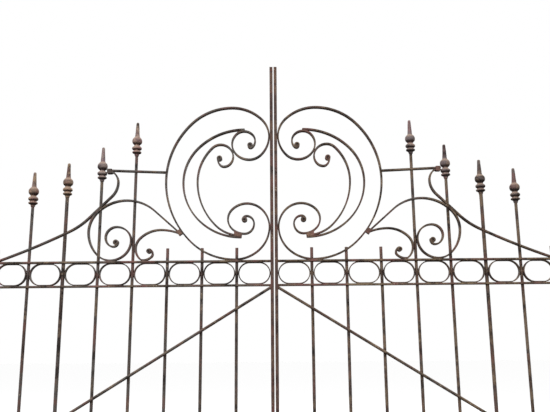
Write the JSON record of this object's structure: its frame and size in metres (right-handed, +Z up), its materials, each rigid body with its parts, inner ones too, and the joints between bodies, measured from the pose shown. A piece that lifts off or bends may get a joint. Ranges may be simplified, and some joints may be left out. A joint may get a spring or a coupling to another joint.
{
  "type": "wrought iron driveway gate",
  "caption": "Pair of scrolled wrought iron driveway gates with ringed rails and spear finials, hung on two plain posts, each leaf swinging inward.",
  "frame": {"origin": "centre of the left post's foot, on the ground", "axes": "+X along the closed gate from the left post to the right post, +Z up, the front faces -Y and the leaves open towards +Y"},
  "size_m": [2.928, 0.16, 2.052],
  "materials": {
    "wrought_iron": "weathered bare iron, grey-brown with tan rust bloom",
    "finial_iron": "rust-tan cast iron, matte",
    "collar_iron": "reddish rust, matte",
    "post_iron": "weathered bare iron, matte"
  },
  "bodies": {
    "posts": {"left_post": "post_iron", "left_post_cap": "post_iron", "left_pintles": "post_iron", "right_post": "post_iron", "right_post_cap": "post_iron", "right_pintles": "post_iron"},
    "left_leaf": {"left_meeting_stile": "wrought_iron", "left_hinge_stile": "wrought_iron", "left_upper_rails": "wrought_iron", "left_lower_rails": "wrought_iron", "left_upper_rings": "wrought_iron", "left_lower_rings": "wrought_iron", "left_short_bars": "wrought_iron", "left_spear_bars": "wrought_iron", "left_finials": "finial_iron", "left_main_scroll": "wrought_iron", "left_outer_crescent": "wrought_iron", "left_inner_crescent": "wrought_iron", "left_side_scroll": "wrought_iron", "left_foot_scroll": "wrought_iron", "left_crest_bar": "wrought_iron", "left_swoop_bar": "wrought_iron", "left_collars": "collar_iron", "left_brace": "wrought_iron", "left_hinge_eyes": "wrought_iron"},
    "right_leaf": {"right_meeting_stile": "wrought_iron", "right_hinge_stile": "wrought_iron", "right_upper_rails": "wrought_iron", "right_lower_rails": "wrought_iron", "right_upper_rings": "wrought_iron", "right_lower_rings": "wrought_iron", "right_short_bars": "wrought_iron", "right_spear_bars": "wrought_iron", "right_finials": "finial_iron", "right_main_scroll": "wrought_iron", "right_outer_crescent": "wrought_iron", "right_inner_crescent": "wrought_iron", "right_side_scroll": "wrought_iron", "right_foot_scroll": "wrought_iron", "right_crest_bar": "wrought_iron", "right_swoop_bar": "wrought_iron", "right_collars": "collar_iron", "right_brace": "wrought_iron", "right_hinge_eyes": "wrought_iron"}
  },
  "joints": [
    {"name": "left_leaf_swing", "type": "hinge", "parent": "posts", "child": "left_leaf", "pos_m": [0.0575, 0, 0], "axis": [0, 0, 1], "range_deg": [0, 90]},
    {"name": "right_leaf_swing", "type": "hinge", "parent": "posts", "child": "right_leaf", "pos_m": [2.7105, 0, 0], "axis": [0, 0, -1], "range_deg": [0, 90]}
  ]
}
